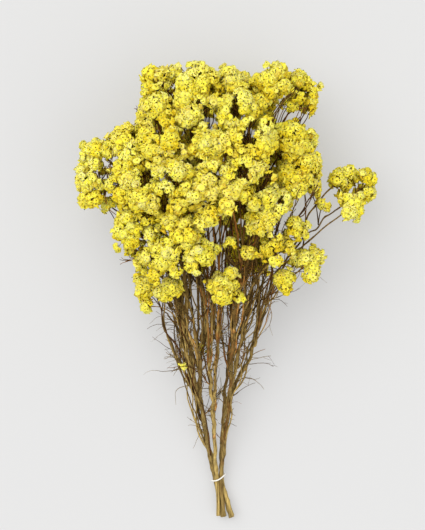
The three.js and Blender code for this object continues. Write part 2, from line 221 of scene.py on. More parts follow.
# Gaps in the flowers: place across and along, half width and half length, lean to the right, the height
# above which there are no florets, and the number of dark twigs that rise through it. The gaps without
# twigs lie along the flowers' outline and trim it.
GAPS = [
    (-60, 240, 7, 7, 0.2, 0, 6),
    (-42, 184, 9, 12, 0.0, 107, 6),
    (-74, 196, 6, 12, -0.2, 102, 6),
    (14, 220, 5, 16, 0.0, 102, 6),
    (-16, 208, 5, 16, -0.2, 102, 6),
    (31, 190, 9, 16, 0.5, 82, 7),
    (66, 215, 5, 22, 0.9, 92, 6),
    (96, 210, 7, 10, 0.5, 0, 6),
    (23, 143, 9, 10, 0.3, 107, 6),
    (-88, 137, 8, 12, 0.2, 82, 6),
    (-131, 157, 9, 8, 0.4, 0, 2),
    (-140, 140, 7, 5, -0.8, 0, 5),
    (48, 132, 8, 12, 0.6, 102, 6),
    (-34, 156, 14, 6, 0.0, 112, 6),
    (-8, 72, 15, 12, 0.0, 60, 6),
    (8, 50, 12, 9, 0.3, 60, 6),
    (96, 112, 12, 12, 0.6, 0, 6),
    (68, 84, 8, 18, 0.5, 0, 6),
    (-66, 112, 6, 12, 0.0, 107, 6),
    (170, 93, 9, 12, 0.3, 0, 0),
    (156, 125, 4, 8, 0.5, 0, 0),
    (126, 113, 7, 5, 0.0, 0, 0),
    (-106, 240, 10, 28, -0.15, 0, 0),
    (-119, 34, 19, 17, 0.0, 0, 0),
    (-109, 2, 9, 20, 0.0, 0, 0),
    (88, 10, 8, 14, 0.0, 0, 0),
]

# A floret's rings from the eye outwards and back under it: points, radius, height along its axis, ruffle,
# share of the way from the eye's colour to the rim's, and radius on the map
PETALS = 5
# The colour shares leave the rim paler and the eye ring and the underside more golden, partly as the
# florets' own colour and partly as painted highlight and painted shade.
RINGS = [
    (PETALS, 0.85, 0.15, 0.0, 0.0, 0.11),
    (PETALS, 2.3, 0.45, 0.4, 0.5, 0.28),
    (2 * PETALS, 4.7, 0.1, 1.4, 1.0, 0.48),
    (PETALS, 0.4, -2.4, 0.0, 0.25, 0.12),
]
EYE_TOP = 0.3
STALK_END = -7.5
NOTCH = 0.22  # how far the rim is cut in between two petals, as a share of its radius

# A dark dried tip that pokes out between the petals: a small triangle, and a point deep below it
TIP = np.array([(0.85, 0, 0.2), (-0.42, 0.74, 0.2), (-0.42, -0.74, 0.2), (0, 0, -2.4)])
TIP_FACES = np.array([(0, 1, 2), (0, 3, 1), (1, 3, 2), (2, 3, 0)])

# The materials of a flower piece, in order
PETAL, EYE, STALK = 0, 1, 2

# The view from above, in metres apart from the spot that the camera looks down on
IMAGE_HEIGHT = 530  # in pixels
PIXEL = 0.0012  # the size of a pixel at VIEW_HEIGHT
VIEW_HEIGHT = 0.05
CAMERA_HEIGHT = 2.5
VIEW_CENTRE = (-11.4, 37.0, 0.0)

# The lights: how wide they are in degrees, then name, strength and direction of each
LIGHT_ANGLE = 60
LIGHTS = [("key", 1.8, (0.5, -0.35, -1.0)), ("fill", 0.6, (-0.7, 0.5, -1.0))]

BAND_CENTRE = np.array([-4, BAND_Y, 10])
BAND_BOX = np.array(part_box("band"))
TO_FRAME = 0.5 * (BAND_BOX[0] + BAND_BOX[1]) - 0.001 * BAND_CENTRE
ROOM = 1000 * (np.array(cad_box) - TO_FRAME)  # the CAD model's box


def stream(seed):
    """The CAD model's own random numbers, which are the same on every machine."""
    state = seed

    def draw(low=0.0, high=1.0):
        nonlocal state
        state = (state * 1664525 + 1013904223) & 0xFFFFFFFF
        return low + (high - low) * (state / 2**32)

    return draw


def mix(a, b, share):
    return a + (b - a) * share


def unit(v):
    return v / norm(v)


def units(rows):
    return rows / norm(rows, axis=1)[:, None]


def any_way(draw):
    return np.array([draw(-1, 1) for _ in range(3)])


def twig_tint(draw, palest=1.0):
    """A twig's own shade and redness. No material reads the third number."""
    return np.array([draw(0, palest), draw(), draw()])


def trace(curve, shares):
    return np.array([curve(t) for t in shares])


def heading_at(curve, t):
    return unit(curve(min(1.0, t + 0.02)) - curve(t - 0.02))


def envelope_at(y):
    """The fan's centre across and up, half width and half depth, at a place along the bunch."""
    above = np.nonzero(ENVELOPE[:, 0] > y)[0]
    i = max(int(above[0]), 1) if len(above) else len(ENVELOPE) - 1
    a, b = ENVELOPE[i - 1], ENVELOPE[i]
    share = min(1.0, (y - a[0]) / (b[0] - a[0]))
    return mix(a, b, share)[1:]


def fan_point(turn, reach, y):
    """A point of the fan: round its middle line, out from it as a share, and along the bunch."""
    x, z, wide, deep = envelope_at(y)
    angle = turn - pi / 2
    return np.array([x + wide * reach * cos(angle), y, z + deep * reach * sin(angle)])


def place_heads():
    """The flower heads, in order round the fan."""
    draw = stream(HEAD_SEED)
    heads = []
    for tier_y, side, tier_radius, lifts, places in TIERS:
        for k, place in enumerate(places):
            x = place + draw(-7, 7)
            y = tier_y + draw(-10, 10)
            radius = tier_radius * draw(0.88, 1.14)
            ex, ez, wide, deep = envelope_at(y)
            across = (x - ex) / wide
            up = side * lifts[k % len(lifts)] * sqrt(max(EDGE_RISE, 1 - across * across))
            z = max(ez + deep * up, SETTLED * radius)
            outward = unit(np.array([across / wide, 0, up / deep]))
            axis = unit(0.8 * outward + np.array([0, 1 if tier_y > FAR_END_Y else 0.6, 0]))
            height = (z - ez) / deep
            centre = np.array([x, y, z])
            turn = (atan2(height, across) + pi / 2 + tau) % tau
            tip = centre - axis * (UNDERSIDE * radius + FIT_GAP)
            head = {"centre": centre, "axis": axis, "radius": radius, "tip": tip}
            heads.append(head | {"turn": turn, "reach": hypot(across, height)})
    return sorted(heads, key=lambda head: head["turn"])


def quadratic(a, b, c):
    return lambda t: a * (1 - t) ** 2 + b * 2 * t * (1 - t) + c * t * t


def cubic(a, b, c, d):
    return lambda t: a * (1 - t) ** 3 + b * 3 * t * (1 - t) ** 2 + c * 3 * t * t * (1 - t) + d * t**3


def through(a, b, c):
    """A centripetal Catmull-Rom curve through three points."""
    points = [2 * a - b, a, b, c, 2 * c - b]

    def place(t):
        k = min(int(2 * t), 1)
        w = 2 * t - k
        p0, p1, p2, p3 = points[k : k + 4]
        d0, d1, d2 = (norm(q - p) ** 0.5 for p, q in ((p0, p1), (p1, p2), (p2, p3)))
        start = d1 * ((p1 - p0) / d0 - (p2 - p0) / (d0 + d1) + (p2 - p1) / d1)
        end = d1 * ((p2 - p1) / d1 - (p3 - p1) / (d1 + d2) + (p3 - p2) / d2)
        square = -3 * p1 + 3 * p2 - 2 * start - end
        return p1 + start * w + square * w**2 + (2 * p1 - 2 * p2 + start + end) * w**3

    return place


def length_of(curve):
    points = trace(curve, np.arange(201) / 200)
    return norm(np.diff(points, axis=0), axis=1).sum()


def shoot_radius(count):
    """A shoot is as thick as the number of heads that it carries asks for."""
    return TWIG_RADIUS * count**0.42


def new_shoot(origin, radius, heading=None, hosting=False):
    return {"points": [origin], "radii": [radius], "heading": heading, "hosting": hosting, "runs": []}


def average(heads, key):
    return np.mean([head[key] for head in heads], axis=0)


def lengthen(shoot, curve, radius, step):
    """Adds a curve to a shoot, which thins out to a radius at its end."""
    steps = ceil(length_of(curve) / step)
    thick = shoot["radii"][-1]
    for k in range(1, steps + 1):
        shoot["points"].append(curve(k / steps))
        shoot["radii"].append(mix(thick, radius, k / steps))
    shoot["heading"] = unit(curve(1.0) - curve(0.9999))
    shoot["runs"].append((curve, thick, radius))


def grow(shoots, shoot, fan, heads, draw):
    """Grows a shoot on to its one head, or to the next fork."""
    origin = shoot["points"][-1]
    if len(heads) == 1:
        head = heads[0]
        length = norm(head["tip"] - origin)
        run = max(0.4 * length, 0.6 * head["radius"])
        knee = origin + shoot["heading"] * 0.35 * length
        curve = cubic(origin, knee, head["tip"] - head["axis"] * run, head["tip"])
        lengthen(shoot, curve, TWIG_RADIUS * 0.9, 36)
        head["heading"] = shoot["heading"]
        return
    lowest = min(head["tip"][1] for head in heads)
    share = draw(0.4, 0.55)
    turn, reach, y = fan
    onward = (
        mix(turn, average(heads, "turn"), 0.9),
        mix(reach, 0.6 * average(heads, "reach"), 0.6),
        mix(y, max(lowest - 12, y + 8), share),
    )
    to = fan_point(*onward)
    knee = origin + shoot["heading"] * 0.45 * norm(to - origin)
    lengthen(shoot, quadratic(origin, knee, to), shoot_radius(len(heads)), 50)
    split(shoots, shoot, onward, heads, draw)


def split(shoots, shoot, fan, heads, draw):
    """Shares a shoot's heads between itself and a side shoot."""
    lowest = min(head["tip"][1] for head in heads)
    width = np.ptp([head["turn"] for head in heads]) * envelope_at(lowest)[2]
    height = np.ptp([head["centre"][1] for head in heads])
    if fan[2] < LOW_FORK_Y or width > 0.8 * height:
        ordered = sorted(heads, key=lambda head: head["turn"])
    else:
        ordered = sorted(heads, key=lambda head: head["centre"][1])
    half = ceil(len(heads) / 2)
    fork = shoot["points"][-1]
    heading = unit(unit(average(ordered[:half], "tip") - fork) + shoot["heading"])
    radius = shoot_radius(half)
    side = new_shoot(fork - heading * radius, radius, heading, half > 2)
    shoots.append(side)
    grow(shoots, shoot, fan, ordered[half:], draw)
    grow(shoots, side, fan, ordered[:half], draw)


def grow_stem(index, heads, draw):
    slot = (index + 0.5) / STEM_COUNT * tau
    at_band = fan_point(slot + 0.5, 1, BAND_Y)
    cut_angle = slot + 1.5 - pi / 2
    cut = np.array([
        CUT_SPREAD["x"] + CUT_SPREAD["wide"] * cos(cut_angle),
        CUT_Y + draw(-3, 8),
        CUT_SPREAD["deep"] * (1 + sin(cut_angle)) + STEM_RADIUS * CUT_FLARE,
    ])
    fan = (mix(slot, average(heads, "turn"), 0.6), 0.75, draw(-185, -140))
    stem = new_shoot(cut, STEM_RADIUS, hosting=True)
    lengthen(stem, through(cut, at_band, fan_point(*fan)), shoot_radius(len(heads)), 24)
    shoots = [stem]
    split(shoots, stem, fan, heads, draw)
    return shoots


def segments_of(shoots):
    """Every shoot's straight pieces: starts, ends and thickness."""
    starts = np.concatenate([shoot["points"][:-1] for shoot in shoots])
    ends = np.concatenate([shoot["points"][1:] for shoot in shoots])
    radii = [np.maximum(shoot["radii"][:-1], shoot["radii"][1:]) for shoot in shoots]
    return starts, ends, np.concatenate(radii)


def clearance(point, segments):
    """How far a point is from the nearest of some straight pieces."""
    starts, ends, radii = segments
    along = ends - starts
    share = np.clip(((point - starts) * along).sum(1) / (along * along).sum(1), 0, 1)
    nearest = starts + along * share[:, None]
    return (norm(nearest - point, axis=1) - radii).min()


def add_bare_twigs(shoots, others, draw):
    hosts = [shoot for shoot in shoots if shoot["hosting"]]
    around = segments_of(others)
    made = tries = 0
    while made < BARE_TWIGS_PER_STEM and tries < 200:
        tries += 1
        host = hosts[int(draw() * len(hosts))]
        origin = host["points"][int(draw() * len(host["points"]))]
        angle = draw() * tau
        length = draw(*BARE_TWIG_LENGTH)
        if not -170 <= origin[1] <= 20:
            continue
        out = np.array([cos(angle), 0, sin(angle)])
        knee = origin + out * 0.4 * length + np.array([0, 0.25 * length, 0])
        tip = origin + out * 0.5 * length + np.array([0, 0.85 * length, 0])
        curve = quadratic(origin, knee, tip)
        points = [curve(k / 10) for k in range(11)]
        own = segments_of(shoots)
        clear = all(clearance(point, around) > 3 and point[2] > 4 for point in points)
        if not clear or not all(clearance(point, own) > 1.5 for point in points[3:]):
            continue
        twig = new_shoot(origin, BARE_TWIG_RADIUS)
        lengthen(twig, curve, 0.6 * BARE_TWIG_RADIUS, 28)
        shoots.append(twig)
        made += 1


def grow_bunch():
    heads = place_heads()
    growing = stream(GROWING_SEED)
    twigging = stream(BARE_TWIG_SEED)
    stems = []
    for i in range(STEM_COUNT):
        first, last = (floor(k * len(heads) / STEM_COUNT + 0.5) for k in (i, i + 1))
        own = heads[first:last]
        stems.append({"heads": own, "shoots": grow_stem(i, own, growing)})
    for stem in stems:
        others = [shoot for other in stems if other is not stem for shoot in other["shoots"]]
        add_bare_twigs(stem["shoots"], others, twigging)
    return heads, stems


def new_object(name, data):
    thing = bpy.data.objects.new(name, data)
    bpy.context.scene.collection.objects.link(thing)
    return thing


def fill(rows, name, values, kind=np.float32):
    rows.foreach_set(name, values.astype(kind).ravel())


def packed(maps):
    """Lays the maps of all parts side by side in rows. Each is in its own unit square."""
    cells = sum(len(cell) for cell in maps)
    columns = ceil(sqrt(cells))
    rows = ceil(cells / columns)
    laid = []
    index = 0
    for cell in maps:
        k = index + np.arange(len(cell))
        corner = np.stack([k % columns, k // columns], 1)[:, None, :]
        laid.append(((cell * 0.94 + 0.03 + corner) / (columns, rows)).reshape(-1, 2))
        index += len(cell)
    return np.concatenate(laid)


class Body:
    """Gathers the closed surfaces of one piece, with a material and a colour for each."""

    def __init__(self):
        self.parts = []
        self.count = 0

    def add(self, places, faces, looks, colours, maps):
        self.parts.append((places, faces + self.count, looks, colours, maps))
        self.count += len(places)

    def add_copies(self, places, faces, looks, colours, maps):
        """Adds shapes with the same faces, with one row of places and colours for each."""
        count, stride = places.shape[:2]
        all_faces = faces[None] + (np.arange(count) * stride)[:, None, None]
        looks = np.tile(looks, count)
        self.add(places.reshape(-1, 3), all_faces.reshape(-1, 3), looks, colours.reshape(-1, 4), maps)

    def make(self, name, materials, node=None):
        places, faces, looks, colours, maps = zip(*self.parts)
        places = 0.001 * np.concatenate(places) + TO_FRAME
        faces = np.concatenate(faces)
        mesh = bpy.data.meshes.new(name)
        mesh.vertices.add(len(places))
        mesh.loops.add(3 * len(faces))
        mesh.polygons.add(len(faces))
        fill(mesh.vertices, "co", places)
        fill(mesh.loops, "vertex_index", faces, np.int32)
        fill(mesh.polygons, "loop_start", np.arange(len(faces)) * 3, np.int32)
        fill(mesh.polygons, "material_index", np.concatenate(looks), np.int32)
        fill(mesh.polygons, "use_smooth", np.ones(len(faces)), bool)
        mesh.update(calc_edges=True)
        tint = mesh.color_attributes.new(name="tint", type="FLOAT_COLOR", domain="POINT")
        fill(tint.data, "color", np.concatenate(colours))
        fill(mesh.uv_layers.new(name="OFBake").data, "uv", packed(maps))
        for material in materials:
            mesh.materials.append(material)
        piece = new_object(name, mesh)
        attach(piece, "root")
        if node:
            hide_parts(node)


def tube(body, points, radii, sides, tint, look=0):
    """A round tube along a line of points, closed at both ends."""
    points = np.asarray(points)
    radii = np.asarray(radii)
    ends = len(points) - 1
    padded = np.concatenate([points[:1], points, points[-1:]])
    along = units(padded[2:] - padded[:-2])
    side = np.cross([0.3, 0.1, 1.0], along[0])
    rings = []
    angles = np.arange(sides) / sides * tau
    for i in range(ends + 1):
        side = unit(side - along[i] * (side @ along[i]))
        other = np.cross(along[i], side)
        arms = np.cos(angles)[:, None] * side + np.sin(angles)[:, None] * other
        rings.append(points[i] + arms * radii[i])
    places = np.concatenate([np.concatenate(rings), points[:1], points[-1:]])
    i, k = np.divmod(np.arange(ends * sides), sides)
    a = i * sides + k
    b = i * sides + (k + 1) % sides
    near, far = len(places) - 2, len(places) - 1
    ring = np.arange(sides)
    after = (ring + 1) % sides
    last = ends * sides
    start_cap = np.stack([np.full(sides, near), after, ring], 1)
    end_cap = np.stack([np.full(sides, far), last + ring, last + after], 1)
    walls = np.concatenate([np.stack([a, b, b + sides], 1), np.stack([a, b + sides, a + sides], 1)])
    faces = np.concatenate([walls, start_cap, end_cap])
    left, right = k / sides, (k + 1) / sides
    bottom, top = i / ends, (i + 1) / ends
    lower = np.stack([left, bottom, right, bottom, right, top], 1)
    upper = np.stack([left, bottom, right, top, left, top], 1)
    caps = np.tile([0.0, 0.0, 0.02, 0.0, 0.0, 0.02], (2 * sides, 1))
    flat = np.concatenate([lower, upper, caps]).reshape(1, -1, 2)
    colours = np.tile(np.append(tint, 1.0), (len(places), 1))
    body.add(places, faces, np.full(len(faces), look), colours, flat)


def smooth_noise(draw, count, smooth):
    """Smooth random numbers along a line, between -1 and 1."""
    knots = np.array([draw(-1, 1) for _ in range(max(4, ceil(count / smooth) + 3))])
    at = np.linspace(0, len(knots) - 1.001, count)
    k = at.astype(int)
    share = at - k
    share = share * share * (3 - 2 * share)
    return knots[k] * (1 - share) + knots[k + 1] * share


def wander(draw, count, smooth):
    """Smooth random steps aside, for each point of a line."""
    return np.stack([smooth_noise(draw, count, smooth) for _ in range(3)], 1)


def dress_shoot(body, shoot, draw):
    """A shoot's smooth centre line, with small bends, knots and a swollen foot."""
    points = [shoot["points"][0]]
    radii = [shoot["radii"][0]]
    for curve, thick, thin in shoot["runs"]:
        steps = max(3, ceil(length_of(curve) / SHOOT_STEP))
        share = np.arange(1, steps + 1) / steps
        line = trace(curve, share)
        held = np.sin(pi * share)[:, None]
        sway = wander(draw, steps, 5)
        kinks = wander(draw, steps, 1.6)
        held *= np.clip(np.abs(line[:, 1:2] - BAND_Y) / BAND_HOLD, 0.15, 1)
        line += held * (sway * 2.5 + kinks * 0.75)
        points.extend(line)
        radii.extend(mix(thick, thin, share))
    radii = np.array(radii)
    radii *= 1 + 0.09 * smooth_noise(draw, len(radii), 1.5)
    for _ in range(len(radii) // 7):
        radii[int(draw() * len(radii))] *= draw(1.15, 1.4)
    radii *= 1 + 0.35 * np.exp(-np.arange(len(radii)) * 0.9)
    points = np.array(points)
    points[:, 2] = np.maximum(points[:, 2], radii + FLOOR_CLEARANCE)
    tube(body, points, radii, 8 if shoot["hosting"] else 6, twig_tint(draw))


def curly_twig(body, origin, heading, length, radius, draw, forks):
    """A hair-fine dry twig that wanders as it grows, and may fork."""
    steps = max(5, int(length / CURLY_STEP))
    step = length / steps
    side = unit(np.cross(heading, any_way(draw)))
    turning = draw(-0.2, 0.2)
    twist = draw(-0.6, 0.6)
    points = [origin]
    direction = heading
    for _ in range(steps):
        side = unit(side - direction * (side @ direction))
        other = np.cross(direction, side)
        bend = turning * step / CURLY_STEP + draw(-0.2, 0.2)
        direction = unit(direction + side * bend + other * draw(-0.2, 0.2))
        side = unit(side * cos(twist * 0.3) + other * sin(twist * 0.3))
        point = points[-1] + direction * step
        point[2] = max(point[2], CURLY_TWIG_HEIGHT)
        points.append(point)
    radii = np.linspace(radius, 0.45 * radius, len(points))
    tube(body, points, radii, 4, twig_tint(draw, 0.6))
    for _ in range(forks):
        k = 1 + int(draw() * (len(points) - 2))
        away = unit(points[k + 1] - points[k] + any_way(draw) * step * 0.9)
        curly_twig(body, points[k], away, length * draw(0.3, 0.5), radii[k] * 0.8, draw, 0)


def add_curly_twigs(body, shoots, draw):
    hosts = [shoot for shoot in shoots if shoot["runs"] and len(shoot["points"]) > 2]
    made = 0
    while made < CURLY_TWIGS:
        shoot = hosts[int(draw() * len(hosts))]
        curve, _, _ = shoot["runs"][int(draw() * len(shoot["runs"]))]
        t = draw(0.05, 0.95)
        origin = curve(t)
        if not -190 < origin[1] < 40 or (origin[1] > -60 and draw() < 0.5):
            continue
        along = heading_at(curve, t)
        heading = unit(along + unit(np.cross(along, any_way(draw))) * draw(0.5, 1.3))
        length = draw(*CURLY_TWIG_LENGTH)
        curly_twig(body, origin, heading, length, draw(0.3, 0.62), draw, int(draw(0, 2.8)))
        made += 1


def within_fan(points):
    """The same points, drawn in to the fan of branches where they stand out of it."""
    held = points.copy()
    for i, point in enumerate(points):
        x, z, wide, deep = envelope_at(point[1])
        reach = hypot((point[0] - x) / wide, (point[2] - z) / deep)
        if reach > 1:
            held[i, 0] = x + (point[0] - x) / reach
            held[i, 2] = z + (point[2] - z) / reach
    return held


def add_companions(body, stem, draw):
    """Thin shoots that leave the stem low down and run up beside the others to its flower heads."""
    low_runs = [
        (curve, mix(thick, thin, 0.5))
        for shoot in stem["shoots"] if shoot["hosting"]
        for curve, thick, thin in shoot["runs"] if curve(0.5)[1] < -50
    ]
    for head in stem["heads"]:
        for _ in range(int(COMPANIONS + draw())):
            curve, thick = low_runs[int(draw() * len(low_runs))]
            t = draw(0.55, 0.98)
            origin = curve(t)
            out = unit(np.array([draw(-1, 1), 0, draw(-0.6, 1)]))
            heading = unit(heading_at(curve, t) + out * draw(0.1, 0.5))
            tip = head["centre"] + head["radius"] * 0.5 * unit(any_way(draw))
            length = norm(tip - origin)
            turn = tip - head["axis"] * 0.3 * length
            path = cubic(origin, origin + heading * 0.4 * length, turn, tip)
            steps = max(6, ceil(length / COMPANION_STEP))
            share = np.arange(steps + 1) / steps
            sway = wander(draw, steps + 1, 7) * COMPANION_SWAY
            kinks = wander(draw, steps + 1, 2) * COMPANION_KINKS
            held = np.sqrt(np.sin(pi * share))[:, None]
            points = within_fan(trace(path, share) + held * (sway + kinks))
            radius = min(0.7 * thick, draw(0.7, 1.35))
            radii = mix(radius, 0.42, share) * (1 + 0.1 * smooth_noise(draw, steps + 1, 1.5))
            points[:, 2] = np.maximum(points[:, 2], radii + FLOOR_CLEARANCE)
            tube(body, points, radii, 6, twig_tint(draw))


def forks_of(shoots):
    """The points where twigs of their own may leave some shoots."""
    return np.array([point for shoot in shoots for point in shoot["points"][1:]])


def lower_down(points, y, near, far):
    """Those of some points that lie between two distances down the bunch from a place along it."""
    return points[(points[:, 1] < y - near) & (points[:, 1] > y - far)]


def add_gap_twigs(body, stem, stems, draw):
    """Dark twigs that rise through the gaps in the flowers, from the stem that comes nearest to each."""
    forks = [forks_of(each["shoots"]) for each in stems]
    for x, y, wide, long, lean, _, twigs in GAPS:
        _, z, _, deep = envelope_at(y)
        heart = np.array([x, y, z + GAP_TWIG_RISE * deep])
        starts = [lower_down(points, y, 20, 90) for points in forks]
        away = [norm(points - heart, axis=1) for points in starts]
        nearest = int(np.argmin([distances.min(initial=inf) for distances in away]))
        if stems[nearest] is not stem:
            continue
        origin = starts[nearest][np.argmin(away[nearest])]
        for _ in range(twigs):
            through_gap = heart + [wide * draw(-0.9, 0.9) - lean * long, -0.7 * long, draw(-14, 10)]
            end = through_gap + [2 * lean * long + draw(-8, 8), 1.7 * long + draw(0, 8), draw(0, 16)]
            curve = quadratic(origin, through_gap + 0.25 * (through_gap - origin), end)
            share = np.linspace(0, 1, GAP_TWIG_RINGS)
            sway = wander(draw, GAP_TWIG_RINGS, 3)
            points = trace(curve, share) + np.sin(pi * share)[:, None] * sway * 1.6
            tint = twig_tint(draw, 0.35)
            tube(body, points, mix(draw(0.6, 0.95), 0.4, share), 5, tint)


def in_gaps(places):
    """Which of some places lie in a gap in the flowers."""
    inside = np.zeros(len(places), bool)
    for x, y, wide, long, lean, bottom, _ in GAPS:
        along = places[:, 1] - y
        across = places[:, 0] - x - lean * along
        inside |= ((across / wide) ** 2 + (along / long) ** 2 < 1) & (places[:, 2] > bottom)
    return inside


def puffs_of(head, draw):
    """The small domed puffs that a head is made of: their centres, radii and the way they face."""
    radius = head["radius"]
    axis = head["axis"]
    side = unit(np.cross([0.2, 0.3, 1.0], axis))
    other = np.cross(axis, side)
    first = draw(0, tau)
    stretched = unit(any_way(draw))
    inner = max(radius - PUFF_RADIUS[1], 0.4 * radius)
    count = max(4, round(4.3 * (inner / 10) ** 2 + 2.5))
    puffs = []
    for k in range(count):
        height = min(1.0, 1 - 1.3 * (k + 0.5) / count + draw(-0.13, 0.13))
        angle = first + k * pi * EVEN_TURN + draw(-0.4, 0.4)
        out = sqrt(1 - height * height)
        facing = axis * height + (side * cos(angle) + other * sin(angle)) * out
        size = draw(*PUFF_RADIUS)
        reach = (radius - 0.8 * size) * draw(0.56, 1.22) * (1 + 0.16 * abs(facing @ stretched) ** 2)
        centre = head["centre"] + facing * reach
        centre = np.clip(centre, ROOM[0] + PUFF_MARGIN * size, ROOM[1] - PUFF_MARGIN * size)
        puffs.append((centre, size, unit(facing + 0.3 * axis)))
    return puffs


def spread_over(radius, axis, first):
    """Outward directions, spread evenly over a ball."""
    count = max(6, round(4 * pi * radius**2 / (0.866 * FLORET_SPACING**2)))
    k = np.arange(count)
    height = 1 - (2 * (k + 0.5)) / count
    angle = k * pi * EVEN_TURN + first
    out = np.sqrt(1 - height**2)
    side = unit(np.cross(axis, [0.37, 0.61, 0.2]))
    other = np.cross(axis, side)
    arms = np.cos(angle)[:, None] * side + np.sin(angle)[:, None] * other
    return out[:, None] * arms + height[:, None] * axis


def floret_spots(head, heads, puffs, rng):
    """Where the florets of a head sit and which way they face, with the puff that each grows on."""
    found = []
    for p, (centre, radius, axis) in enumerate(puffs):
        facing = spread_over(radius, axis, rng.uniform(0, 6))
        waves = np.sin(facing @ rng.normal(0, 2.6, (3, 2)) + rng.uniform(0, 6, 2)) @ PUFF_WAVES
        where = centre + facing * (radius * (1 + waves))[:, None]
        where = where + rng.normal(0, SPOT_NOISE, where.shape)
        keep = facing @ axis > LOWEST_SPOT
        for q, (other, reach, _) in enumerate(puffs):
            if q != p:
                keep &= norm(where - other, axis=1) > reach * INNER_PUFF
        from_head = where - head["centre"]
        for rival in heads:
            if rival is head:
                continue
            gap = rival["centre"] - head["centre"]
            distance = norm(gap)
            wall = (distance**2 + head["radius"] ** 2 - rival["radius"] ** 2) / (2 * distance)
            keep &= from_head @ (gap / distance) < wall + WALL_OVERLAP
        found.append((where[keep], facing[keep], np.full(keep.sum(), p)))
    spots, facings, owners = (np.concatenate(part) for part in zip(*found))
    facings = units(facings + rng.normal(0, FACING_NOISE, facings.shape))
    stray = rng.uniform(0, 1, len(spots)) < STRAY_SHARE
    rise = np.where(stray, rng.uniform(*STRAY_RISE, len(spots)), 0)
    spots = spots + facings * (rise + rng.uniform(*SPOT_RISE, len(spots)))[:, None]
    lowest = DROOP * np.sqrt(1 - facings[:, 2] ** 2) + UNDERSIDE_DROOP * np.maximum(0, -facings[:, 2])
    keep = (lowest + FLOOR_CLEARANCE - spots[:, 2] < DEEPEST_SINK) & ~in_gaps(spots)
    return spots[keep], facings[keep], owners[keep]


def floret_faces():
    """The faces, materials and map of one floret: eye, petals, underside and stalk."""
    n = PETALS
    eye = 1 + np.arange(n + 1) % n
    middle = n + eye
    rim = 1 + 2 * n + np.arange(2 * n + 1) % (2 * n)
    calyx = 4 * n + eye
    stalk_end = 1 + 5 * n
    faces, looks = [], []
    for k in range(n):
        a, b = eye[k : k + 2]
        c, d = middle[k : k + 2]
        tip, notch, next_tip = rim[2 * k : 2 * k + 3]
        g, h = calyx[k : k + 2]
        faces += [(0, a, b), (a, c, d), (a, d, b)]
        faces += [(c, tip, notch), (c, notch, d), (d, notch, next_tip)]
        faces += [(g, notch, tip), (g, h, notch), (h, next_tip, notch)]
        faces += [(g, stalk_end, h)]
        looks += [EYE] + [PETAL] * 8 + [STALK]
    under = np.tile([False] * 6 + [True] * 4, n)
    faces = np.array(faces)
    flat = [np.zeros((1, 2))]
    for points, _, _, _, _, reach in RINGS:
        angle = np.arange(points) / points * tau
        flat.append(reach * np.stack([np.cos(angle), np.sin(angle)], 1))
    flat = np.concatenate(flat + [np.zeros((1, 2))])
    spots = flat[faces] * 0.5
    spots[..., 0] += np.where(under, 0.75, 0.25)[:, None]
    spots[..., 1] = spots[..., 1] * 2 + 0.5
    return faces, np.array(looks), spots


FACES, LOOKS, SPOTS = floret_faces()


def any_side(facings, rng):
    """A random direction square to each of the given ones."""
    return units(np.cross(facings, rng.normal(0, 1, facings.shape)))


def set_down(local, spots, facings, sides):
    """Small shapes, turned to their facings, moved to their spots and lifted clear of the floor."""
    basis = np.stack([sides, np.cross(facings, sides), facings], 1)
    places = np.einsum("fvi,fij->fvj", local, basis) + spots[:, None, :]
    places[..., 2] += np.clip(FLOOR_CLEARANCE - places[..., 2].min(1), 0, None)[:, None]
    return places


def add_tips(body, spots, facings, rng):
    """A dark dried tip beside the eye of every floret."""
    count = len(spots)
    sides = any_side(facings, rng)
    local = TIP[None] * rng.uniform(0.65, 1.0, (count, 1, 1))
    shift = [rng.uniform(2.1, 3.3, count), np.zeros(count), rng.uniform(0.7, 1.5, count)]
    places = set_down(local + np.stack(shift, 1)[:, None], spots, facings, sides)
    colours = np.ones((count, len(TIP), 4))
    colours[..., 1] = rng.uniform(0, 0.7, (count, 1))
    rows = ceil(sqrt(count))
    corner = np.stack([np.arange(count) % rows, np.arange(count) // rows], 1)
    flat = (TIP[TIP_FACES][..., :2] * 0.5 + 0.5).reshape(1, -1, 2) + corner[:, None]
    body.add_copies(places, TIP_FACES, np.full(len(TIP_FACES), EYE), colours, flat.reshape(1, -1, 2) / rows)


